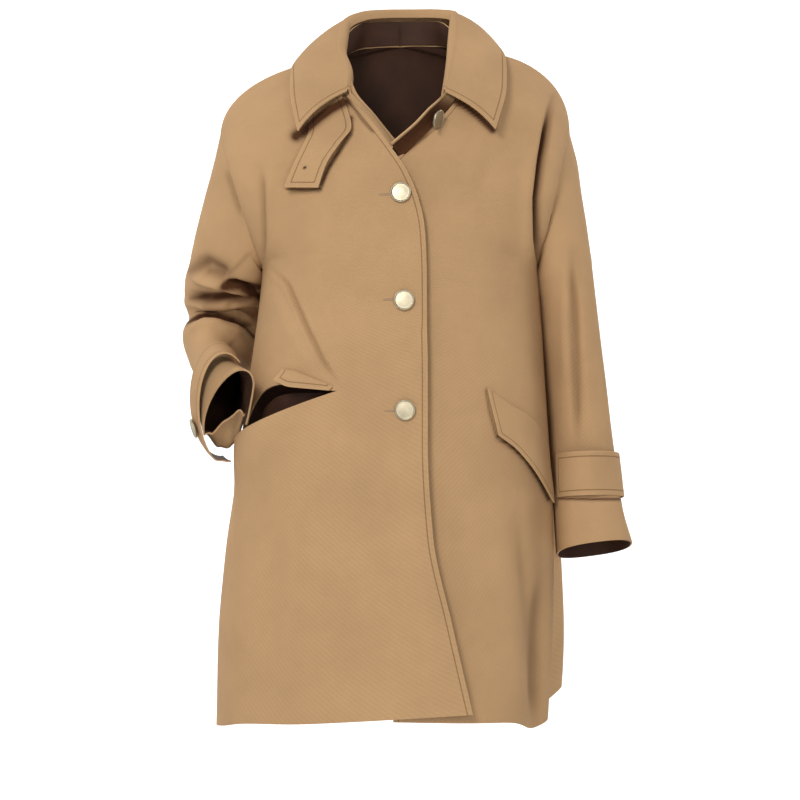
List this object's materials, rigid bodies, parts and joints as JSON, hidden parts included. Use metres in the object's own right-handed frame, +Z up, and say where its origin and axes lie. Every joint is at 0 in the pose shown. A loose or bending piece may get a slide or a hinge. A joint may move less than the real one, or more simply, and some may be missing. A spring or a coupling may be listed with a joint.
{
  "type": "swing coat",
  "caption": "Worn A-line swing coat shell with turned-down collar, throat tab, buttoned front, bent and hanging sleeves with cuff straps, and slanted flap pockets, one gaping.",
  "frame": {"origin": "between the two side neck points, at the height where the coat rests on the shoulders", "axes": "+Z up, the front faces -Y, +X is the wearer's left"},
  "size_m": [0.567, 0.376, 0.901],
  "materials": {
    "camel_wool": "soft matt twill with a short nap",
    "pocket_lining": "dark brown smooth lining",
    "button_metal": "pale gold, brushed, with a raised rim"
  },
  "bodies": {
    "root": {"front_right": "camel_wool", "front_left": "camel_wool", "back": "camel_wool", "sleeve_right": "camel_wool", "sleeve_left": "camel_wool", "collar_fall": "camel_wool", "collar_stand": "camel_wool", "throat_tab": "camel_wool", "pocket_flap_left": "camel_wool", "pocket_flap_right": "camel_wool", "pocket_bag_right": "pocket_lining", "sleeve_strap_left": "camel_wool", "sleeve_strap_right": "camel_wool", "button_front_1": "button_metal", "button_front_2": "button_metal", "button_front_3": "button_metal", "button_collar": "button_metal", "button_sleeve_left": "button_metal", "button_sleeve_right": "button_metal"}
  },
  "joints": []
}
